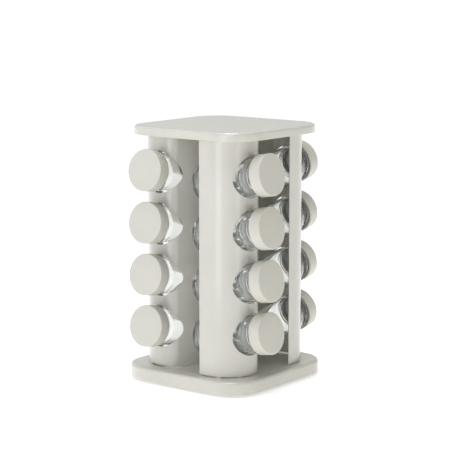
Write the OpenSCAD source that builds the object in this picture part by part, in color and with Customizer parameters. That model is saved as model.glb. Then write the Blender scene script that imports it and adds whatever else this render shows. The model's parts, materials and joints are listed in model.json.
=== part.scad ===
// Revolving spice carousel.
// A square tower of four curved sheet panels stands between a base and a lid, and turns on a
// ball bearing foot. Each panel holds one column of glass jars, which lie with their caps
// outward and slope down towards the middle.
//
// Frame: millimetres, +Z up, origin on the table under the turning axis.
// Column a faces +X; columns b, c and d follow at quarter turns, anticlockwise from above.
// Row 1 is the top row.

/* [Tower] */
// Side of the base, measured over its flat sides
base_side = 180; // [175:1:200]
// Corner radius of the base
base_corner_r = 37; // [30:1:45]
// Height of the base's side wall
base_h = 15; // [14:0.5:20]
// Side of the lid, measured over its flat sides
lid_side = 171.5; // [168:0.5:180]
// Corner radius of the lid
lid_corner_r = 37.5; // [30:0.5:45]
// Height of the lid's side wall
lid_h = 10; // [9:0.5:14]
// Clear height between the base and the lid
bay_h = 272; // [265:1:300]

/* [Panels] */
// Thickness of the panel sheet
sheet_t = 1; // [0.8:0.1:1.2]
// Radius of the wide front bend
front_bend_r = 36.3; // [35:0.1:38]
// Sideways distance of the front bend's centre from the tower's middle
bend_offset = 40.2; // [39.5:0.1:41]
// Radius of the tight bend towards the middle
inner_bend_r = 18; // [14:1:20]
// Length of the straight flange behind the tight bend
flange_len = 28; // [15:1:28]
// Gap between the sheet's edge and the base or the lid
sheet_gap = 1.2; // [0.5:0.1:2]
// Width of the locking tabs
tab_w = 5; // [4:0.5:8]

/* [Jars] */
// Number of jars in a column
row_count = 4; // [2:1:4]
// Height between neighbouring jars
row_pitch = 60.5; // [58:0.5:62]
// Height of the top row's cap centre above the table
top_cap_z = 252.4; // [250:0.1:256]
// Sideways distance of a jar column from the tower's middle
column_offset = 39.8; // [39:0.1:40.5]
// Distance from the tower's middle to the centre of a cap's face
cap_reach = 98.4; // [96:0.1:102]
// Slope of the jars, caps up
jar_tilt = 10; // [8:1:11]
// Length of a jar with its cap on
jar_len = 101.5; // [98:0.5:101.5]
// Outer radius of the glass body
jar_r = 22.4; // [21:0.1:22.6]
// Thickness of the glass wall
glass_t = 2.2; // [1.5:0.1:3]
// Thickness of the glass floor
glass_floor_t = 5; // [3:0.5:7]
// How much larger a panel hole's radius is than its jar's
hole_clear = 1.6; // [1.4:0.1:2]
// How far a hole's centre lies from its jar's, towards the sheet's front edge
hole_shift = 1.3; // [0.5:0.1:1.3]

/* [Caps] */
// Outer radius of a cap
cap_r = 24.2; // [24:0.1:25]
// Depth of a cap
cap_h = 14.5; // [13:0.5:15]
// Thickness of a cap's wall and face
cap_t = 2.2; // [1.5:0.1:2.5]

/* [Turntable] */
// Height of the base above the table
foot_gap = 3; // [2.5:0.5:5]
// Radius of the round foot
foot_r = 70; // [66:1:76]
// Radius of the ball track
track_r = 45; // [40:1:50]
// Diameter of the bearing balls
ball_d = 6; // [5.8:0.1:6.2]
// Number of bearing balls
ball_count = 24; // [12:1:26]
// Radius of the pivot's shank
pivot_r = 4; // [3:0.5:5]

/* [Hidden] */
$fn = 96;

COLUMNS = ["a", "b", "c", "d"];
ROWS = [for (i = [1:row_count]) i];
JAR_PARTS = ["jar", "sifter", "cap"];

// Colours
cream = [0.86, 0.85, 0.81];
clear_glass = [0.80, 0.88, 0.88, 0.35];
milky_plastic = [0.93, 0.93, 0.91];
black_plastic = [0.12, 0.12, 0.13];
black_rubber = [0.08, 0.08, 0.08];
zinc_plate = [0.72, 0.73, 0.75];
ball_steel = [0.80, 0.81, 0.83];

// Heights of the tower
base_top = foot_gap + base_h;
lid_bottom = base_top + bay_h;

// Walls of the base and the lid
base_t = 2;
base_edge_r = 3;
lid_t = 1.6;
lid_edge_r = 2.5;
lid_plate_t = 1.2;
lid_plate_lift = 0.6;
lid_plate_z = lid_bottom + lid_plate_lift;
lid_plate_clear = 0.15;
post_r = 4;
post_at = 60;

// Panel outline, for column a
front_bend_end = 15;
inner_bend_end = 64;
front_edge_x = 23;
front_steps = 21;
inner_steps = 9;
front_centre_x = 35;
front_centre = [front_centre_x, -bend_offset];
inner_centre = front_centre
    + (front_bend_r - inner_bend_r) * [cos(front_bend_end), sin(front_bend_end)];
front_tabs_at = [-68, -29];
bend_tab_at = 32;
flange_tab_at = 6;
tab_reach = 6;
slot_side_clear = 0.15;
slot_end_clear = 0.2;
lug_t = 1;
lug_len = 4;

// Jar profile, from the jar's own floor
body_h = 81;
floor_round = 5;
shoulder_round = 6;
neck_r = 19.5;
neck_bore_r = 17;
rim_h = 98;
collar_r = 22;
collar_z = 83.6;
collar_h = 2.2;
bead_r = 1;
bead_z = 92;

// Sifter insert
sifter_flange_r = 19.3;
sifter_flange_t = 1.2;
sifter_plug_r = 16.9;
sifter_depth = 7;
sifter_wall = 1.2;
sifter_hole_r = 1.6;
sifter_ring_r = 8;
sifter_hole_count = 6;

// Cap edges
cap_face_round = 0.8;
cap_back_round = 0.4;

// Edges too small to matter, and how far a cutting shape runs past what it cuts
crisp = 0.01;
past = 1;

// Turntable levels, from the table up
foot_z = 2;
foot_t = 2;
track_rib_w = 12;
ball_z = 10.5;
groove_clear = 0.1;
groove_r = ball_d / 2 + groove_clear;
rib_gap = 1.5;
foot_rib_top = ball_z - rib_gap;
base_rib_bottom = ball_z + rib_gap;
cage_t = 1.6;
cage_w = 14;
cage_clear = 0.3;
cage_hole_r = ball_d / 2 + cage_clear;
boss_r = 9;
boss_split_z = 9.8;
boss_gap = 0.3;
pivot_clear = 0.2;
pivot_head_r = 8;
pivot_head_t = 2;
pivot_head_round = 0.9;
pivot_head_edge = 0.3;
pivot_foot_r = 7;
pivot_foot_t = 1.2;
pad_r = 8;
pad_at = 56;
pad_round = 0.6;

// Places things in column c's quarter of the tower
module in_column(c) {
    rotate([0, 0, 90 * search(c, "abcd")[0]]) children();
}

// Places a jar part: z runs from the jar's floor to its cap
module in_jar(c, row) {
    in_column(c)
        translate([cap_reach, -column_offset, top_cap_z - (row - 1) * row_pitch])
            rotate([0, 90 - jar_tilt, 0])
                translate([0, 0, -jar_len])
                    children();
}

// Half profile of a round body from z0 to z1, with rounded rims
module half_round(r, z0, z1, low_round, high_round) {
    h = z1 - z0;
    translate([0, z0]) {
        translate([0, low_round]) square([r, h - low_round - high_round]);
        square([r - low_round, low_round]);
        translate([0, h - high_round]) square([r - high_round, high_round]);
        translate([r - low_round, low_round]) circle(low_round);
        translate([r - high_round, h - high_round]) circle(high_round);
    }
}

// Flat plate with square sides and round corners
module square_plate(side, corner_r, h) {
    flat = side - 2 * corner_r;
    translate([-side / 2, -flat / 2, 0]) cube([side, flat, h]);
    translate([-flat / 2, -side / 2, 0]) cube([flat, side, h]);
    for (x = [-1, 1])
        for (y = [-1, 1])
            translate([x * flat / 2, y * flat / 2, 0]) cylinder(r = corner_r, h = h);
}

// Side wall section of a block, its rounded edge at the top
module edge_section(half, h, edge_r) {
    translate([-half, 0]) square([2 * half, h - edge_r]);
    translate([-half + edge_r, 0]) square([2 * (half - edge_r), h]);
    for (x = [-1, 1])
        translate([x * (half - edge_r), h - edge_r]) circle(edge_r);
}

// Solid block with round corners and a rounded top edge
module soft_block(side, corner_r, h, edge_r) {
    flat = side - 2 * corner_r;
    for (turn = [0, 90])
        rotate([0, 0, turn])
            translate([0, flat / 2, 0])
                rotate([90, 0, 0])
                    linear_extrude(flat) edge_section(side / 2, h, edge_r);
    for (x = [-1, 1])
        for (y = [-1, 1])
            translate([x * flat / 2, y * flat / 2, 0])
                rotate_extrude() half_round(corner_r, 0, h, crisp, edge_r);
}

// Points along an arc
function arc(centre, r, from, to, steps) = [
    for (i = [0:steps])
        let (turn = from + (to - from) * i / steps)
        centre + r * [cos(turn), sin(turn)]
];

// A panel's outline from its front edge to the end of its flange, moved outward by shift
function outline(shift) = concat(
    [[front_edge_x, front_centre.y - front_bend_r - shift]],
    arc(front_centre, front_bend_r + shift, -90, front_bend_end, front_steps),
    arc(inner_centre, inner_bend_r + shift, front_bend_end, inner_bend_end, inner_steps),
    [
        inner_centre + (inner_bend_r + shift) * [cos(inner_bend_end), sin(inner_bend_end)]
            + flange_len * [-sin(inner_bend_end), cos(inner_bend_end)]
    ]
);

function backwards(points) = [for (i = [len(points) - 1:-1:0]) points[i]];

// Curved strip along a panel's outline, from its middle line inward and outward
module strip(h, inward, outward) {
    linear_extrude(h) polygon(concat(outline(outward), backwards(outline(-inward))));
}

// Blocks that mark where a panel has its tabs
module tab_blocks(h, grow) {
    w = tab_w + 2 * grow;
    depth = 2 * tab_reach;
    for (turn = front_tabs_at)
        translate(front_centre)
            rotate([0, 0, turn])
                translate([front_bend_r - tab_reach, -w / 2, 0]) cube([depth, w, h]);
    translate(inner_centre) {
        rotate([0, 0, bend_tab_at])
            translate([inner_bend_r - tab_reach, -w / 2, 0]) cube([depth, w, h]);
        rotate([0, 0, inner_bend_end])
            translate([inner_bend_r - tab_reach, flange_tab_at - w / 2, 0])
                cube([depth, w, h]);
    }
}

// What is cut from the sheet beyond its edge, to leave only the tabs
module edge_relief(z, h) {
    translate([0, 0, z])
        difference() {
            translate([0, -base_side / 2, 0]) cube([base_side / 2, base_side / 2, h]);
            translate([0, 0, -past]) tab_blocks(h + 2 * past, 0);
        }
}

// Tab ends, folded flat against the far side of their plate
module lugs(z) {
    translate([0, 0, z])
        intersection() {
            strip(lug_t, sheet_t / 2, sheet_t / 2 + lug_len);
            tab_blocks(lug_t, 0);
        }
}

// Slots for the tabs of all four panels
module tab_slots(z, h) {
    for (c = COLUMNS)
        in_column(c)
            translate([0, 0, z])
                intersection() {
                    strip(h, sheet_t / 2 + slot_side_clear, sheet_t / 2 + slot_side_clear);
                    tab_blocks(h, slot_end_clear);
                }
}

// Ring groove that the balls run in
module ball_groove() {
    translate([0, 0, ball_z])
        rotate_extrude()
            translate([track_r, 0]) circle(groove_r);
}

// Raised ring beside the ball groove
module track_rib(z0, z1) {
    translate([0, 0, z0])
        rotate_extrude()
            translate([track_r - track_rib_w / 2, 0]) square([track_rib_w, z1 - z0]);
}

module base_tray() {
    plate_z = base_top - base_t;
    color(cream)
        difference() {
            union() {
                difference() {
                    translate([0, 0, foot_gap])
                        soft_block(base_side, base_corner_r, base_h, base_edge_r);
                    translate([0, 0, foot_gap - past])
                        square_plate(
                            base_side - 2 * base_t, base_corner_r - base_t, base_h - base_t + past
                        );
                }
                track_rib(base_rib_bottom, plate_z + base_t / 2);
                translate([0, 0, boss_split_z + boss_gap])
                    cylinder(r = boss_r, h = plate_z - boss_split_z);
            }
            ball_groove();
            cylinder(r = pivot_r + pivot_clear, h = 2 * base_top);
            tab_slots(plate_z - past, base_t + 2 * past);
        }
}

module top_lid() {
    color(cream)
        translate([0, 0, lid_bottom])
            difference() {
                soft_block(lid_side, lid_corner_r, lid_h, lid_edge_r);
                translate([0, 0, -past])
                    square_plate(
                        lid_side - 2 * lid_t, lid_corner_r - lid_t, lid_h - lid_t + past
                    );
            }
}

module lid_plate() {
    inset = lid_t + lid_plate_clear;
    post_h = lid_bottom + lid_h - lid_t - lid_plate_z;
    color(cream)
        difference() {
            translate([0, 0, lid_plate_z]) {
                square_plate(lid_side - 2 * inset, lid_corner_r - inset, lid_plate_t);
                for (x = [-1, 1])
                    for (y = [-1, 1])
                        translate([x * post_at, y * post_at, 0])
                            cylinder(r = post_r, h = post_h);
            }
            tab_slots(lid_plate_z - past, lid_plate_t + 2 * past);
        }
}

module panel(c) {
    low_end = base_top - base_t - lug_t;
    low_edge = base_top + sheet_gap;
    high_edge = lid_bottom - sheet_gap;
    high_end = lid_plate_z + lid_plate_t + lug_t;
    color(cream)
        difference() {
            in_column(c) {
                difference() {
                    translate([0, 0, low_end])
                        strip(high_end - low_end, sheet_t / 2, sheet_t / 2);
                    edge_relief(low_end - past, low_edge - low_end + past);
                    edge_relief(high_edge, high_end - high_edge + past);
                }
                lugs(low_end);
                lugs(high_end - lug_t);
            }
            for (row = ROWS)
                in_jar(c, row)
                    translate([0, -hole_shift, 0]) cylinder(r = jar_r + hole_clear, h = jar_len);
        }
}

module turntable_foot() {
    color(black_plastic)
        difference() {
            union() {
                translate([0, 0, foot_z]) cylinder(r = foot_r, h = foot_t);
                track_rib(foot_z + foot_t / 2, foot_rib_top);
                translate([0, 0, foot_z]) cylinder(r = boss_r, h = boss_split_z - foot_z);
            }
            ball_groove();
            cylinder(r = pivot_r, h = base_top);
        }
}

module rubber_feet() {
    color(black_rubber)
        for (turn = [45:90:315])
            rotate([0, 0, turn])
                translate([pad_at, 0, 0])
                    rotate_extrude() half_round(pad_r, 0, foot_z, pad_round, crisp);
}

module pivot_rivet() {
    head_z = base_top + boss_gap;
    color(zinc_plate) {
        translate([0, 0, foot_z - pivot_foot_t])
            cylinder(r = pivot_foot_r, h = pivot_foot_t);
        translate([0, 0, foot_z]) cylinder(r = pivot_r, h = head_z - foot_z);
        translate([0, 0, head_z])
            rotate_extrude()
                half_round(pivot_head_r, 0, pivot_head_t, pivot_head_edge, pivot_head_round);
    }
}

module ball_cage() {
    color(milky_plastic)
        translate([0, 0, ball_z - cage_t / 2])
            difference() {
                cylinder(r = track_r + cage_w / 2, h = cage_t);
                translate([0, 0, -past])
                    cylinder(r = track_r - cage_w / 2, h = cage_t + 2 * past);
                at_balls()
                    translate([0, 0, -past]) cylinder(r = cage_hole_r, h = cage_t + 2 * past);
            }
}

module at_balls() {
    for (i = [0:ball_count - 1])
        rotate([0, 0, i * 360 / ball_count])
            translate([track_r, 0, 0]) children();
}

module bearing_balls() {
    color(ball_steel)
        at_balls()
            translate([0, 0, ball_z]) sphere(d = ball_d);
}

// Empty glass jar with a rounded floor, a collar behind the cap and a beaded neck
module jar(c, row) {
    color(clear_glass)
        in_jar(c, row)
            rotate_extrude()
                difference() {
                    union() {
                        half_round(jar_r, 0, body_h, floor_round, shoulder_round);
                        translate([0, body_h / 2]) square([neck_r, rim_h - body_h / 2]);
                        translate([0, collar_z]) square([collar_r, collar_h]);
                        translate([neck_r, bead_z]) circle(bead_r);
                    }
                    half_round(
                        jar_r - glass_t, glass_floor_t, body_h - glass_t,
                        floor_round - glass_t / 2, shoulder_round - glass_t / 2
                    );
                    translate([0, body_h / 2]) square([neck_bore_r, rim_h]);
                }
}

// Plastic insert that plugs the neck and has small holes to shake spice through
module sifter(c, row) {
    floor_z = rim_h - sifter_depth;
    color(milky_plastic)
        in_jar(c, row)
            difference() {
                union() {
                    translate([0, 0, floor_z])
                        cylinder(r = sifter_plug_r, h = sifter_depth);
                    translate([0, 0, rim_h])
                        cylinder(r = sifter_flange_r, h = sifter_flange_t);
                }
                translate([0, 0, floor_z + sifter_wall])
                    cylinder(r = sifter_plug_r - sifter_wall, h = 2 * sifter_depth);
                translate([0, 0, floor_z - past])
                    sifter_holes(sifter_wall + 2 * past);
            }
}

module sifter_holes(h) {
    cylinder(r = sifter_hole_r, h = h);
    for (i = [0:sifter_hole_count - 1])
        rotate([0, 0, i * 360 / sifter_hole_count])
            translate([sifter_ring_r, 0, 0]) cylinder(r = sifter_hole_r, h = h);
}

// Straight-sided screw cap
module cap(c, row) {
    color(cream)
        in_jar(c, row)
            translate([0, 0, jar_len - cap_h])
                difference() {
                    rotate_extrude()
                        half_round(cap_r, 0, cap_h, cap_back_round, cap_face_round);
                    translate([0, 0, -past])
                        cylinder(r = cap_r - cap_t, h = cap_h - cap_t + past);
                }
}

base_tray();
top_lid();
lid_plate();
turntable_foot();
rubber_feet();
pivot_rivet();
ball_cage();
bearing_balls();
for (c = COLUMNS) {
    panel(c);
    for (row = ROWS) {
        jar(c, row);
        sifter(c, row);
        cap(c, row);
    }
}
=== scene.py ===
import json
import math

import bmesh
import bpy
from mathutils import Matrix, Vector


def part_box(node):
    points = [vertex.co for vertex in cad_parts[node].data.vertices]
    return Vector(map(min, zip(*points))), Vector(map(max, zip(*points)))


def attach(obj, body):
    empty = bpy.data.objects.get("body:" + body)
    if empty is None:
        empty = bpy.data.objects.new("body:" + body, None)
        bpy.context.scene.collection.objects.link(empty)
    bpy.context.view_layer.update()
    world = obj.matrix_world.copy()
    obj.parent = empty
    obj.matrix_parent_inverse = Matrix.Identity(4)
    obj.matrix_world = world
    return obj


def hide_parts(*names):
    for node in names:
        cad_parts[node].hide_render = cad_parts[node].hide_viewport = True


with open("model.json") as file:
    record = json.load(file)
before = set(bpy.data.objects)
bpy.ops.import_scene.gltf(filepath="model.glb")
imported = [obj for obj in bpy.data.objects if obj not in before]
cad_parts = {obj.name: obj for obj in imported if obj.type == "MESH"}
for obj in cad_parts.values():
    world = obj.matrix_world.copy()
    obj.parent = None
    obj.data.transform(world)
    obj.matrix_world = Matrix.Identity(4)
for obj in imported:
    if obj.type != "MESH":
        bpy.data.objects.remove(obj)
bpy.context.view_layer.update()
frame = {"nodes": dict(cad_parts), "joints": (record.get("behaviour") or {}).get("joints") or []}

# ---------------------------------------------------------------- sizes, in metres

MM = 0.001
COLUMNS = "abcd"
ROWS = (1, 2, 3, 4)
UP = Vector((0, 0, 1))

# Panel sheet, in column a's place: a flat front edge, a wide bend, a tight bend and a flange
SHEET_T = 1.0 * MM
FRONT_EDGE_X = 23.0 * MM
FRONT_CENTRE = Vector((35.0 * MM, -40.2 * MM))
FRONT_R = 36.3 * MM
FRONT_TURN = (math.radians(-90), math.radians(15))
INNER_R = 18.0 * MM
INNER_END = math.radians(64)
FLANGE = 28.0 * MM
SHEET_GAP = 1.2 * MM
EDGE_ROUND = 0.22 * MM

# Tabs: their middles as bearings on the two bends, and a length along the flange
TAB_W = 5.0 * MM
FRONT_TABS_AT = (math.radians(-68), math.radians(-29))
BEND_TAB_AT = math.radians(32)
FLANGE_TAB_AT = 6.0 * MM
TAB_THIN = 0.96
TAB_OVERLAP = 0.1 * MM
LUG_T = 1.0 * MM
LUG_LEN = 4.0 * MM

# Jars and caps, along a jar's own axis from its floor
JAR_LEN = 101.5 * MM
JAR_R = 22.4 * MM
HOLE_CLEAR = 1.6 * MM
HOLE_SHIFT = 1.3 * MM
CAP_R = 24.2 * MM
CAP_H = 14.5 * MM
CAP_WALL = 2.2 * MM

# How finely round shapes are cut, and the distance below which points are one
ROUND_STEPS = 96
SAME_POINT = 1e-7


# ---------------------------------------------------------------- mesh helpers

def arc(centre, r, start, end, steps):
    """Points along an arc, both ends included."""
    turns = [start + (end - start) * i / steps for i in range(steps + 1)]
    return [(centre[0] + r * math.cos(t), centre[1] + r * math.sin(t)) for t in turns]


def add_object(name, bm, material, sharp=35):
    """Turns a bmesh into a smooth-shaded object with sharp edges kept sharp."""
    bmesh.ops.remove_doubles(bm, verts=bm.verts, dist=SAME_POINT)
    bmesh.ops.recalc_face_normals(bm, faces=bm.faces)
    mesh = bpy.data.meshes.new(name)
    bm.to_mesh(mesh)
    bm.free()
    for face in mesh.polygons:
        face.use_smooth = True
    mesh.set_sharp_from_angle(angle=math.radians(sharp))
    mesh.materials.append(material)
    obj = bpy.data.objects.new(name, mesh)
    bpy.context.scene.collection.objects.link(obj)
    return obj


def copy_of(obj, name, matrix):
    """A second object with the same mesh, in another place."""
    twin = bpy.data.objects.new(name, obj.data)
    twin.matrix_world = matrix
    bpy.context.scene.collection.objects.link(twin)
    return twin


def circle_verts(bm, r, z):
    """A ring of vertices about Z."""
    turns = [2 * math.pi * i / ROUND_STEPS for i in range(ROUND_STEPS)]
    return [bm.verts.new((r * math.cos(t), r * math.sin(t), z)) for t in turns]


def lathe(bm, profile):
    """Turns a closed (radius, height) loop about Z; points on the axis become one vertex."""
    rings = [circle_verts(bm, r, z) if r else [bm.verts.new((0, 0, z))] for r, z in profile]
    for low, high in zip(rings, rings[1:] + rings[:1]):
        if len(low) == 1 and len(high) == 1:
            continue
        for i in range(ROUND_STEPS):
            j = (i + 1) % ROUND_STEPS
            corners = [low[i % len(low)], low[j % len(low)]]
            corners += [high[j % len(high)], high[i % len(high)]]
            bm.faces.new(list(dict.fromkeys(corners)))


def grid(bm, columns):
    """Quads between neighbouring columns of points."""
    made = [[bm.verts.new(p) for p in column] for column in columns]
    for left, right in zip(made, made[1:]):
        for i in range(len(left) - 1):
            bm.faces.new((left[i], right[i], right[i + 1], left[i + 1]))


def skin(bm, rings):
    """Quads between neighbouring closed rings of vertices."""
    for a, b in zip(rings, rings[1:]):
        for i in range(len(a)):
            j = (i + 1) % len(a)
            bm.faces.new((a[i], a[j], b[j], b[i]))


def steps_between(a, b, n):
    """Evenly spaced values from a to b, both included."""
    return [a + (b - a) * i / n for i in range(n + 1)]


# ---------------------------------------------------------------- materials

# Nearly all of a noise texture's values lie between these
NOISE_LOW = 0.3
NOISE_HIGH = 0.7


def new_material(name):
    """A material with its node lists and its shader."""
    mat = bpy.data.materials.new(name)
    mat.use_nodes = True
    nodes = mat.node_tree.nodes
    return mat, nodes, mat.node_tree.links, nodes["Principled BSDF"]


def noise(nodes, links, scale, detail=2.0, rough=0.5):
    """A noise texture in the piece's own coordinates."""
    coords = nodes.new("ShaderNodeTexCoord")
    tex = nodes.new("ShaderNodeTexNoise")
    tex.inputs["Scale"].default_value = scale
    tex.inputs["Detail"].default_value = detail
    tex.inputs["Roughness"].default_value = rough
    links.new(coords.outputs["Object"], tex.inputs["Vector"])
    return tex.outputs["Fac"]


def ramp(nodes, links, fac, dark, light, low=NOISE_LOW, high=NOISE_HIGH):
    """Maps a factor between low and high onto two colours."""
    node = nodes.new("ShaderNodeValToRGB")
    node.color_ramp.elements[0].position = low
    node.color_ramp.elements[0].color = (*dark, 1)
    node.color_ramp.elements[1].position = high
    node.color_ramp.elements[1].color = (*light, 1)
    links.new(fac, node.inputs["Fac"])
    return node.outputs["Color"]


def spread(nodes, links, fac, low, high):
    """Maps a noise factor onto a range of values."""
    node = nodes.new("ShaderNodeMapRange")
    node.inputs["From Min"].default_value = NOISE_LOW
    node.inputs["From Max"].default_value = NOISE_HIGH
    node.inputs["To Min"].default_value = low
    node.inputs["To Max"].default_value = high
    links.new(fac, node.inputs["Value"])
    return node.outputs["Result"]


def clouded(nodes, links, scale, dark, light, bsdf):
    """A base colour that drifts softly between two shades."""
    cloud = noise(nodes, links, scale, detail=3)
    links.new(ramp(nodes, links, cloud, dark, light, 0.35, 0.65), bsdf.inputs["Base Color"])


def bump(nodes, links, heights, bsdf):
    """Stacks bump layers, each (factor, strength, distance in metres)."""
    last = None
    for fac, strength, distance in heights:
        node = nodes.new("ShaderNodeBump")
        node.inputs["Strength"].default_value = strength
        node.inputs["Distance"].default_value = distance
        links.new(fac, node.inputs["Height"])
        if last:
            links.new(last, node.inputs["Normal"])
        last = node.outputs["Normal"]
    links.new(last, bsdf.inputs["Normal"])


def enamel(name, dark, light, rough, coat):
    """Enamelled steel: faint clouding, slow waves, orange peel and fine variation in gloss."""
    mat, nodes, links, bsdf = new_material(name)
    clouded(nodes, links, 22, dark, light, bsdf)
    fine = noise(nodes, links, scale=900)
    links.new(spread(nodes, links, fine, rough - 0.01, rough + 0.02), bsdf.inputs["Roughness"])
    bsdf.inputs["IOR"].default_value = 1.5
    bsdf.inputs["Coat Weight"].default_value = coat
    bsdf.inputs["Coat Roughness"].default_value = 0.07
    peel = noise(nodes, links, scale=420, detail=1)
    wave = noise(nodes, links, scale=14, detail=1)
    bump(nodes, links, [(wave, 0.04, 0.0008), (peel, 0.012, 0.0001)], bsdf)
    return mat


def glass_material():
    """Clear pressed glass with slow waves and a faint tint, which lets the lamps through."""
    mat, nodes, links, bsdf = new_material("jar_glass_clear")
    tint = noise(nodes, links, scale=30)
    colour = ramp(nodes, links, tint, (0.968, 0.972, 0.948), (0.985, 0.99, 0.972))
    links.new(colour, bsdf.inputs["Base Color"])
    bsdf.inputs["Transmission Weight"].default_value = 0.94
    bsdf.inputs["IOR"].default_value = 1.5
    smear = noise(nodes, links, scale=60, detail=3)
    links.new(spread(nodes, links, smear, 0.0, 0.012), bsdf.inputs["Roughness"])
    wave = noise(nodes, links, scale=55)
    bump(nodes, links, [(wave, 0.04, 0.0004)], bsdf)
    through = nodes.new("ShaderNodeBsdfTransparent")
    through.inputs["Color"].default_value = (0.93, 0.94, 0.92, 1)
    path = nodes.new("ShaderNodeLightPath")
    either = nodes.new("ShaderNodeMixShader")
    links.new(path.outputs["Is Shadow Ray"], either.inputs[0])
    links.new(bsdf.outputs["BSDF"], either.inputs[1])
    links.new(through.outputs["BSDF"], either.inputs[2])
    links.new(either.outputs["Shader"], nodes["Material Output"].inputs["Surface"])
    return mat


def moulded(name, dark, light, rough, grain=700, depth=0.00006):
    """Moulded plastic or rubber with a fine grain."""
    mat, nodes, links, bsdf = new_material(name)
    clouded(nodes, links, 35, dark, light, bsdf)
    fine = noise(nodes, links, scale=grain)
    links.new(spread(nodes, links, fine, rough - 0.04, rough + 0.06), bsdf.inputs["Roughness"])
    bump(nodes, links, [(fine, 0.25, depth)], bsdf)
    return mat


def metal(name, dark, light, rough):
    """Bare or plated steel with fine marks."""
    mat, nodes, links, bsdf = new_material(name)
    marks = noise(nodes, links, scale=300, detail=4, rough=0.7)
    links.new(ramp(nodes, links, marks, dark, light), bsdf.inputs["Base Color"])
    links.new(spread(nodes, links, marks, rough, rough + 0.15), bsdf.inputs["Roughness"])
    bsdf.inputs["Metallic"].default_value = 1.0
    bump(nodes, links, [(marks, 0.15, 0.00005)], bsdf)
    return mat


CREAM_DARK = (0.66, 0.64, 0.556)
CREAM_LIGHT = (0.685, 0.665, 0.581)
body_enamel = enamel("cream_enamel", CREAM_DARK, CREAM_LIGHT, 0.26, 0.7)
panel_enamel = enamel("cream_enamel_sheet", CREAM_DARK, CREAM_LIGHT, 0.24, 0.8)
cap_plastic = moulded("cream_cap", CREAM_DARK, CREAM_LIGHT, 0.22)
glass = glass_material()
milky = moulded("milky_plastic", (0.72, 0.72, 0.70), (0.80, 0.80, 0.78), 0.45)
black_plastic = moulded("black_plastic", (0.016, 0.016, 0.018), (0.028, 0.028, 0.03), 0.5)
rubber = moulded("black_rubber", (0.010, 0.010, 0.010), (0.022, 0.022, 0.022), 0.75, 500, 0.0001)
zinc = metal("zinc_plate", (0.50, 0.51, 0.53), (0.66, 0.67, 0.69), 0.28)
ball_steel = metal("ball_steel", (0.62, 0.63, 0.65), (0.72, 0.73, 0.75), 0.08)


# ---------------------------------------------------------------- base and lid

# The lip's rounding as a share of the wall, and the ring that borders the flat top
LIP_SHARE = 0.35
TOP_MARGIN = 1 * MM


def square_ring(half, corner_r, inset, z, steps=24):
    """Points round a square with round corners, moved inward by inset."""
    r = corner_r - inset
    flat = half - corner_r
    points = []
    for i, (sx, sy) in enumerate(((1, 1), (-1, 1), (-1, -1), (1, -1))):
        start = i * math.pi / 2
        corner = arc((sx * flat, sy * flat), r, start, start + math.pi / 2, steps)
        points += [(x, y, z) for x, y in corner]
    return points


def pressed_shell(name, node, material, corner_r, edge_r, wall, top_t):
    """An open-bottomed pressed block with a rounded top edge and a rounded lower lip."""
    low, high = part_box(node)
    half, z0, z1 = high.x, low.z, high.z
    lip = LIP_SHARE * wall
    under = edge_r - wall
    top_round = arc((0, 0), edge_r, 0, math.pi / 2, 10)
    under_round = arc((0, 0), under, 0, math.pi / 2, 5)
    lip_round = arc((0, 0), lip, math.pi / 2, 0, 4)[1:]
    outside = [(wall - lip, z0), (lip, z0)]
    outside += [(lip - x, z0 + lip - y) for x, y in lip_round]
    outside += [(edge_r - x, z1 - edge_r + y) for x, y in top_round]
    outside += [(edge_r + TOP_MARGIN, z1)]
    inside = [(wall - lip, z0), (wall, z0 + lip)]
    inside += [(edge_r - x, z1 - top_t - under + y) for x, y in under_round]
    inside += [(edge_r + TOP_MARGIN, z1 - top_t)]
    bm = bmesh.new()
    for path in (outside, inside):
        rings = [[bm.verts.new(p) for p in square_ring(half, corner_r, d, z)] for d, z in path]
        skin(bm, rings)
        bm.faces.new(rings[-1])
    shell = add_object(name, bm, material, sharp=50)
    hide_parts(node)
    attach(shell, "carousel")


pressed_shell("base_shell", "base_tray", body_enamel, 37 * MM, 3 * MM, 2 * MM, 2 * MM)
pressed_shell("lid_shell", "top_lid", body_enamel, 37.5 * MM, 2.5 * MM, 1.6 * MM, 1.6 * MM)


# ---------------------------------------------------------------- panels

INNER_CENTRE = FRONT_CENTRE + (FRONT_R - INNER_R) * Vector(
    (math.cos(FRONT_TURN[1]), math.sin(FRONT_TURN[1]))
)
FLAT_LEN = FRONT_CENTRE.x - FRONT_EDGE_X
FRONT_LEN = FRONT_R * (FRONT_TURN[1] - FRONT_TURN[0])
INNER_LEN = INNER_R * (INNER_END - FRONT_TURN[1])
SHEET_LEN = FLAT_LEN + FRONT_LEN + INNER_LEN + FLANGE
BAY_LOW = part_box("base_tray")[1].z
BAY_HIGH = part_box("top_lid")[0].z

# Each jar hole sits in a cell that reaches this far before and after it along the sheet
CELL_BEFORE = 32 * MM
CELL_AFTER = 34 * MM

# How many steps the sheet is cut into: across and up a cell, and beside and beyond the cells
CELL_ACROSS = 40
CELL_UP = 36
BEFORE_STEPS = 20
AFTER_STEPS = 10
BELOW_STEPS = 8
ABOVE_STEPS = 6


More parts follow.
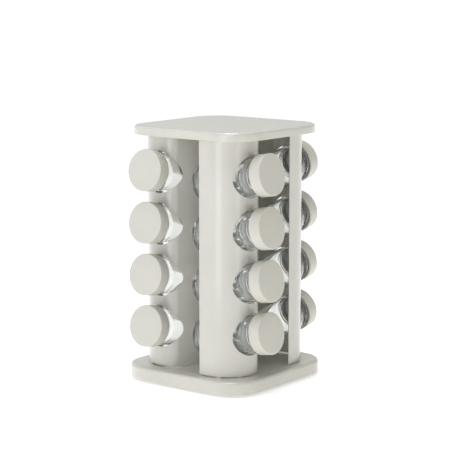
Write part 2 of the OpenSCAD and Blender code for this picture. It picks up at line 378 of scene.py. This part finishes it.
def on_sheet(along, shift, z):
    """The point at a length along the sheet's middle line, moved outward by shift."""
    if along <= FLAT_LEN:
        x = FRONT_EDGE_X + along
        return Vector((x, FRONT_CENTRE.y - FRONT_R - shift, z))
    along -= FLAT_LEN
    if along <= FRONT_LEN:
        turn = FRONT_TURN[0] + along / FRONT_R
        out = Vector((math.cos(turn), math.sin(turn)))
        return Vector((*(FRONT_CENTRE + out * (FRONT_R + shift)), z))
    along -= FRONT_LEN
    turn = FRONT_TURN[1] + min(along, INNER_LEN) / INNER_R
    out = Vector((math.cos(turn), math.sin(turn)))
    past = max(along - INNER_LEN, 0)
    tangent = Vector((-out.y, out.x))
    return Vector((*(INNER_CENTRE + out * (INNER_R + shift) + tangent * past), z))


def jar_axis(name):
    """The direction a jar slides out in, and the middle of its cap's face."""
    joint = next(j for j in frame["joints"] if j["name"] == f"jar_slide_{name}")
    axis = Vector(joint["axis"]).normalized()
    low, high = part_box(f"cap_{name}")
    return axis, (low + high) / 2 + axis * CAP_H / 2


def hole_radius(along, z, turn, shift, axis, face):
    """How far from (along, z) the hole's edge lies on the sheet, in direction turn."""
    near, far = 0.0, 1.6 * JAR_R
    halvings = 36
    for _ in range(halvings):
        middle = (near + far) / 2
        p = on_sheet(along + middle * math.cos(turn), shift, z + middle * math.sin(turn))
        if (p - face).cross(axis).length < JAR_R + HOLE_CLEAR:
            near = middle
        else:
            far = middle
    return near


def cell_surface(bm, box_points, centre, shift, axis, face, rings=7, crowding=1.3):
    """The sheet between a jar hole and the rectangle round it; returns the hole's edge."""
    loops = []
    for along, z in box_points:
        turn = math.atan2(z - centre[1], along - centre[0])
        r = hole_radius(*centre, turn, shift, axis, face)
        edge = (centre[0] + r * math.cos(turn), centre[1] + r * math.sin(turn))
        ray = []
        for i in range(rings + 1):
            t = (i / rings) ** crowding
            ray.append(on_sheet(
                edge[0] + (along - edge[0]) * t, shift, edge[1] + (z - edge[1]) * t
            ))
        loops.append([bm.verts.new(p) for p in ray])
    for a, b in zip(loops, loops[1:] + loops[:1]):
        for i in range(rings):
            bm.faces.new((a[i], b[i], b[i + 1], a[i + 1]))
    return [ray[0] for ray in loops]


def curved_block(bm, along, z, inward, outward, steps=10):
    """A closed block that follows the sheet's outline."""
    rings = []
    for a in steps_between(*along, steps):
        corners = ((-inward, z[0]), (outward, z[0]), (outward, z[1]), (-inward, z[1]))
        rings.append([bm.verts.new(on_sheet(a, shift, h)) for shift, h in corners])
    skin(bm, rings)
    bm.faces.new(rings[0])
    bm.faces.new(rings[-1])


def panel_mesh():
    """The sheet with its four jar holes, in column a's place."""
    z_low, z_high = BAY_LOW + SHEET_GAP, BAY_HIGH - SHEET_GAP
    front = FLAT_LEN + FRONT_R * math.pi / 2
    left, right = front - CELL_BEFORE, front + CELL_AFTER
    shifted = Vector((0, -HOLE_SHIFT, 0))
    axes = [(axis, face + shifted) for axis, face in (jar_axis(f"a{row}") for row in ROWS)]
    pitch = axes[0][1].z - axes[1][1].z
    reach = axes[0][1].x - on_sheet(front, 0, 0).x
    slope = axes[0][0].z / axes[0][0].x
    centres = [face.z - reach * slope for _, face in axes]
    cell_low, cell_high = centres[-1] - pitch / 2, centres[0] + pitch / 2
    before = steps_between(0, left, BEFORE_STEPS)
    across = steps_between(left, right, CELL_ACROSS)
    after = steps_between(right, SHEET_LEN, AFTER_STEPS)
    below = steps_between(z_low, cell_low, BELOW_STEPS)
    above = steps_between(cell_high, z_high, ABOVE_STEPS)
    heights = list(below)
    for centre_z in reversed(centres):
        heights += steps_between(centre_z - pitch / 2, centre_z + pitch / 2, CELL_UP)[1:]
    heights += above[1:]
    faces = (-SHEET_T / 2, SHEET_T / 2)
    bm = bmesh.new()
    rims = {}
    for shift in faces:
        for centre_z, (axis, face) in zip(centres, axes):
            low, high = centre_z - pitch / 2, centre_z + pitch / 2
            rise = steps_between(low, high, CELL_UP)
            around = [(a, low) for a in across[:-1]] + [(right, z) for z in rise[:-1]]
            around += [(a, high) for a in across[:0:-1]] + [(left, z) for z in rise[:0:-1]]
            rim = cell_surface(bm, around, (front, centre_z), shift, axis, face)
            rims.setdefault(centre_z, []).append(rim)
        for stretch, levels in (
            (before, heights), (after, heights), (across, below), (across, above)
        ):
            grid(bm, [[on_sheet(a, shift, z) for z in levels] for a in stretch])
    for inner, outer in rims.values():
        for i in range(len(inner)):
            j = (i + 1) % len(inner)
            bm.faces.new((inner[i], inner[j], outer[j], outer[i]))
    for end in (0, SHEET_LEN):
        grid(bm, [[on_sheet(end, shift, z) for z in heights] for shift in faces])
    for z in (z_low, z_high):
        lengths = before + across[1:] + after[1:]
        grid(bm, [[on_sheet(a, shift, z) for shift in faces] for a in lengths])
    bmesh.ops.remove_doubles(bm, verts=bm.verts, dist=SAME_POINT)
    add_tabs(bm, z_low, z_high)
    return bm


def add_tabs(bm, z_low, z_high):
    """Four tabs at each end, their tips folded over."""
    low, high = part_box("panel_a")
    thin = TAB_THIN * SHEET_T / 2
    fold = SHEET_T / 2 + LUG_LEN
    middles = [FLAT_LEN + FRONT_R * (turn - FRONT_TURN[0]) for turn in FRONT_TABS_AT]
    middles.append(FLAT_LEN + FRONT_LEN + INNER_R * (BEND_TAB_AT - FRONT_TURN[1]))
    middles.append(SHEET_LEN - FLANGE + FLANGE_TAB_AT)
    for middle in middles:
        ends = (middle - TAB_W / 2, middle + TAB_W / 2)
        curved_block(bm, ends, (low.z, z_low + TAB_OVERLAP), thin, thin)
        curved_block(bm, ends, (z_high - TAB_OVERLAP, high.z), thin, thin)
        curved_block(bm, ends, (low.z, low.z + LUG_T), thin, fold)
        curved_block(bm, ends, (high.z - LUG_T, high.z), thin, fold)


def round_edges(obj):
    """Softens the sheet's cut edges."""
    rounding = obj.modifiers.new("edge_rounding", "BEVEL")
    rounding.width = EDGE_ROUND
    rounding.segments = 2
    rounding.limit_method = "ANGLE"
    rounding.angle_limit = math.radians(45)


def make_panels():
    """Column a's panel and its three turned copies."""
    first = add_object("sheet_panel_a", panel_mesh(), panel_enamel, sharp=40)
    for i, column in enumerate(COLUMNS):
        piece = first
        if i:
            turn = Matrix.Rotation(i * math.pi / 2, 4, "Z")
            piece = copy_of(first, f"sheet_panel_{column}", turn)
        round_edges(piece)
        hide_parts(f"panel_{column}")
        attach(piece, "carousel")


make_panels()


# ---------------------------------------------------------------- jars, sifters and caps

def jar_mesh():
    """Glass jar, as a profile in millimetres: rounded floor, shoulder, collar and neck."""
    mm = [
        (0, 1.1), (8, 1.0), (14.5, 0.45), *arc((17.4, 5), 5, -math.pi / 2, 0, 10),
        *arc((15.9, 74.5), 6.5, 0, math.pi / 2 * 0.86, 10), (19.6, 82.2),
        (19.9, 83.2), (21.4, 83.6), *arc((21.2, 84.7), 0.8, -math.pi / 3, math.pi / 3, 4),
        (21.4, 85.8), (19.6, 86.2), (19.5, 97.0), *arc((18.9, 97.4), 0.6, 0, math.pi / 2, 4),
        *arc((17.6, 97.4), 0.6, math.pi / 2, math.pi, 4), (17.0, 84.0),
        *arc((15.7, 73.5), 4.6, math.pi / 2 * 0.80, 0, 8),
        *arc((15.4, 9.6), 4.8, 0, -math.pi / 2, 8), (8, 5.2), (0, 5.6),
    ]
    bm = bmesh.new()
    lathe(bm, [(r * MM, z * MM) for r, z in mm])
    return bm


def thread_mesh():
    """One and a half turns of screw thread round the neck, thinning out at both ends."""
    bm = bmesh.new()
    turns, steps = 1.5, 108
    start_z, rise = 89.3 * MM, 4.2 * MM
    neck_r, half_h, depth = 19.4 * MM, 0.75 * MM, 1.2
    fade, thinnest = 8, 0.02 * MM
    rings = []
    for t in steps_between(0, 1, steps):
        angle = 2 * math.pi * turns * t
        height = start_z + rise * t
        size = half_h * min(1, fade * t, fade * (1 - t)) + thinnest
        ring = []
        for x, z in arc((0, 0), size, -math.pi / 2, math.pi / 2, 5):
            r = neck_r + depth * x
            ring.append(bm.verts.new((r * math.cos(angle), r * math.sin(angle), height + z)))
        rings.append(ring)
    skin(bm, rings)
    bm.faces.new(rings[0])
    bm.faces.new(rings[-1])
    return bm


def sifter_mesh():
    """Sifter insert: a flange, a plug and a floor with seven round holes."""
    bm = bmesh.new()
    hole_r, ring_r, floor_r = 1.6, 8.0, 15.7
    hole_steps, ring_holes = 24, 6
    z_floor, z_deck = 91.0, 92.2
    mm = [
        (floor_r, z_deck), (floor_r, 98.6), *arc((16.3, 98.6), 0.6, math.pi, math.pi / 2, 4),
        *arc((18.9, 98.8), 0.4, math.pi / 2, 0, 4), (19.3, 98.0), (16.9, 98.0),
        *arc((16.3, 91.6), 0.6, 0, -math.pi / 2, 4), (floor_r, z_floor),
    ]
    rings = [circle_verts(bm, r * MM, z * MM) for r, z in mm]
    skin(bm, rings)
    middles = [(0, 0)] + arc((0, 0), ring_r, 0, 2 * math.pi, ring_holes)[:-1]
    walls = []
    for z, rim in ((z_deck, rings[0]), (z_floor, rings[-1])):
        edges = [bm.edges.get(pair) for pair in zip(rim, rim[1:] + rim[:1])]
        loops = []
        for middle in middles:
            points = arc(middle, hole_r, 0, 2 * math.pi, hole_steps)[:-1]
            loop = [bm.verts.new((x * MM, y * MM, z * MM)) for x, y in points]
            edges += [bm.edges.new(pair) for pair in zip(loop, loop[1:] + loop[:1])]
            loops.append(loop)
        bmesh.ops.triangle_fill(bm, edges=edges, use_beauty=True)
        walls.append(loops)
    for top, low in zip(*walls):
        skin(bm, [top, low])
    return bm


def cap_mesh():
    """Straight-sided cap with a softly rounded face and a thin skirt."""
    face_r, skirt_r, inner_r = 0.9 * MM, 0.4 * MM, 0.8 * MM
    low, high = JAR_LEN - CAP_H, JAR_LEN
    bore, roof = CAP_R - CAP_WALL, high - CAP_WALL
    quarter = math.pi / 2
    profile = [
        (0, high), (CAP_R - 4 * MM, high),
        *arc((CAP_R - face_r, high - face_r), face_r, quarter, 0, 6),
        (CAP_R, low + 3 * MM),
        *arc((CAP_R - skirt_r, low + skirt_r), skirt_r, 0, -quarter, 4),
        *arc((bore + skirt_r, low + skirt_r), skirt_r, -quarter, -2 * quarter, 4),
        (bore, roof - inner_r),
        *arc((bore - inner_r, roof - inner_r), inner_r, 0, quarter, 4),
        (0, roof),
    ]
    bm = bmesh.new()
    lathe(bm, profile)
    return bm


def jar_place(name):
    """Where a jar's own frame lies: z along its axis from its floor, each turned differently."""
    axis, face = jar_axis(name)
    turn = Matrix.Rotation(0.9 * (ord(name[0]) + 3 * int(name[1])), 4, "Z")
    lean = UP.rotation_difference(axis).to_matrix().to_4x4()
    return Matrix.Translation(face - axis * JAR_LEN) @ lean @ turn


def make_jars():
    """Copies one jar, thread, sifter and cap into every place."""
    models = {
        "glass_jar": (add_object("glass_jar_model", jar_mesh(), glass, 30), "jar", "jar_glass"),
        "neck_thread": (add_object("thread_model", thread_mesh(), glass, 50), None, "jar_glass"),
        "sifter_insert": (
            add_object("sifter_model", sifter_mesh(), milky, 35), "sifter", "sifter_plastic"
        ),
        "screw_cap": (add_object("cap_model", cap_mesh(), cap_plastic, 35), "cap", "cap_plastic"),
    }
    for column in COLUMNS:
        for row in ROWS:
            name = f"{column}{row}"
            place = jar_place(name)
            for kind, (model, node, slot) in models.items():
                piece = copy_of(model, f"{kind}_{name}", place)
                if node:
                    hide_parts(f"{node}_{name}")
                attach(piece, f"cap_{name}" if kind == "screw_cap" else f"jar_{name}")
    for model, _, _ in models.values():
        bpy.data.objects.remove(model)


make_jars()


# ---------------------------------------------------------------- pieces kept from the CAD

def dress(node, material):
    """Gives a CAD piece its finish and smooth shading."""
    obj = frame["nodes"][node]
    obj.data.materials.clear()
    obj.data.materials.append(material)
    for face in obj.data.polygons:
        face.use_smooth = True
        face.material_index = 0
    obj.data.set_sharp_from_angle(angle=math.radians(30))


for kept, finish in (
    ("lid_plate", body_enamel),
    ("turntable_foot", black_plastic),
    ("rubber_feet", rubber),
    ("pivot_rivet", zinc),
    ("ball_cage", milky),
    ("bearing_balls", ball_steel),
):
    dress(kept, finish)


# ---------------------------------------------------------------- studio

# The camera stands to the right of the front, a little above the middle
VIEW_TURN = math.radians(38.07)
VIEW_RISE = math.radians(9.2)
VIEW_FAR = 1.970
AIM = Vector((0, 0, 0.1805))
LENS = 133.9
SENSOR_W = 36
CAMERA_REACH = 50

# The surround's colour, and how much it rises along each axis
SURROUND_LEVEL = (0.42, 0.418, 0.40)
SURROUND_RISE = {
    "X": (-0.31, -0.312, -0.33),
    "Y": (-0.04, -0.04, -0.07),
    "Z": (0.34, 0.342, 0.38),
}

# The lamps are a little cooler than the surround
LAMP_COLOUR = (0.92, 0.955, 1.07)

# The soft boxes aim at the middle of the tower
LAMP_AIM = UP * 0.15

# The floor glows a little, like a lit sweep, and a wall closes it off
PALE = ((0.93, 0.93, 0.925), (0.95, 0.95, 0.945))
FLOOR_GLOW = 0.42
FLOOR_R = 40
BACKDROP_GLOW = 1.12
BACKDROP_R = 14

# Soft boxes: bearing, rise, distance, size, brightness, and whether they light matt surfaces
SOFT_BOXES = {
    "key": (-64, 14, 2.3, (1.4, 1.4), 0.86),
    "fill_left": (-132, 8, 2.3, (1.0, 1.2), 0.7),
    "top": (-80, 88, 1.6, (1.2, 1.2), 1.95),
    "strip_left": (-80, 0, 0.6, (0.20, 0.5), 1.3, False),
    "strip_right": (-18, 0, 0.55, (0.09, 0.5), 1.2, False),
    "glint": (-60, 78, 1.2, (0.6, 0.6), 9.0, False),
}


def soft_box(name, bearing, rise, distance, size, brightness, lights=True):
    """A soft box aimed at the tower, which the camera never sees."""
    light = bpy.data.lights.new(name, "AREA")
    light.shape = "RECTANGLE"
    light.size, light.size_y = size
    light.energy = brightness * math.pi * size[0] * size[1]
    light.color = LAMP_COLOUR
    obj = bpy.data.objects.new(name, light)
    turn, tip = math.radians(bearing), math.radians(rise)
    out = Vector((math.cos(turn) * math.cos(tip), math.sin(turn) * math.cos(tip), math.sin(tip)))
    obj.location = out * distance + LAMP_AIM
    obj.rotation_euler = (-out).to_track_quat("-Z", "Y").to_euler()
    obj.visible_camera = False
    obj.visible_diffuse = lights
    bpy.context.scene.collection.objects.link(obj)


def make_floor():
    """A plain pale floor, with a faint cloudiness."""
    mat, nodes, links, bsdf = new_material("studio_floor")
    pale = ramp(nodes, links, noise(nodes, links, scale=1.5), *PALE)
    links.new(pale, bsdf.inputs["Base Color"])
    bsdf.inputs["Roughness"].default_value = 0.8
    bsdf.inputs["Emission Color"].default_value = (1, 1, 1, 1)
    bsdf.inputs["Emission Strength"].default_value = FLOOR_GLOW
    bm = bmesh.new()
    bmesh.ops.create_circle(bm, cap_ends=True, radius=FLOOR_R, segments=ROUND_STEPS)
    floor = add_object("studio_floor", bm, mat)


def make_backdrop():
    """A pale wall far round the tower, which lights nothing and is mirrored in nothing."""
    mat, nodes, links, bsdf = new_material("studio_backdrop")
    pale = ramp(nodes, links, noise(nodes, links, scale=0.2), *PALE)
    links.new(pale, bsdf.inputs["Emission Color"])
    bsdf.inputs["Emission Strength"].default_value = BACKDROP_GLOW
    bsdf.inputs["Base Color"].default_value = (0, 0, 0, 1)
    bsdf.inputs["Specular IOR Level"].default_value = 0
    bm = bmesh.new()
    bmesh.ops.create_cone(
        bm, radius1=BACKDROP_R, radius2=BACKDROP_R, depth=BACKDROP_R, segments=ROUND_STEPS
    )
    wall = add_object("studio_backdrop", bm, mat)
    wall.visible_diffuse = False
    wall.visible_glossy = False
    wall.visible_transmission = False
    wall.visible_shadow = False


def make_world():
    """Studio surround: bright above and on the left, dim and warm on the right."""
    world = bpy.data.worlds.new("studio")
    bpy.context.scene.world = world
    world.use_nodes = True
    nodes, links = world.node_tree.nodes, world.node_tree.links
    coords = nodes.new("ShaderNodeTexCoord")
    axes = nodes.new("ShaderNodeSeparateXYZ")
    links.new(coords.outputs["Generated"], axes.inputs["Vector"])
    total = None
    for axis, rise in SURROUND_RISE.items():
        part = nodes.new("ShaderNodeVectorMath")
        part.operation = "SCALE"
        part.inputs[0].default_value = rise
        links.new(axes.outputs[axis], part.inputs["Scale"])
        plus = nodes.new("ShaderNodeVectorMath")
        plus.operation = "ADD"
        links.new(part.outputs["Vector"], plus.inputs[0])
        if total:
            links.new(total, plus.inputs[1])
        else:
            plus.inputs[1].default_value = SURROUND_LEVEL
        total = plus.outputs["Vector"]
    links.new(total, nodes["Background"].inputs["Color"])


def make_camera():
    """The camera, aimed from the photographed side."""
    data = bpy.data.cameras.new("camera")
    data.lens = LENS
    data.sensor_width = SENSOR_W
    data.clip_end = CAMERA_REACH
    camera = bpy.data.objects.new("camera", data)
    away = Vector((
        math.sin(VIEW_TURN) * math.cos(VIEW_RISE),
        -math.cos(VIEW_TURN) * math.cos(VIEW_RISE),
        math.sin(VIEW_RISE),
    ))
    camera.location = AIM + away * VIEW_FAR
    camera.rotation_euler = (-away).to_track_quat("-Z", "Y").to_euler()
    bpy.context.scene.collection.objects.link(camera)
    bpy.context.scene.camera = camera


make_floor()
make_backdrop()
make_world()
make_camera()
for lamp, values in SOFT_BOXES.items():
    soft_box(lamp, *values)
bpy.context.scene.view_settings.view_transform = "Standard"
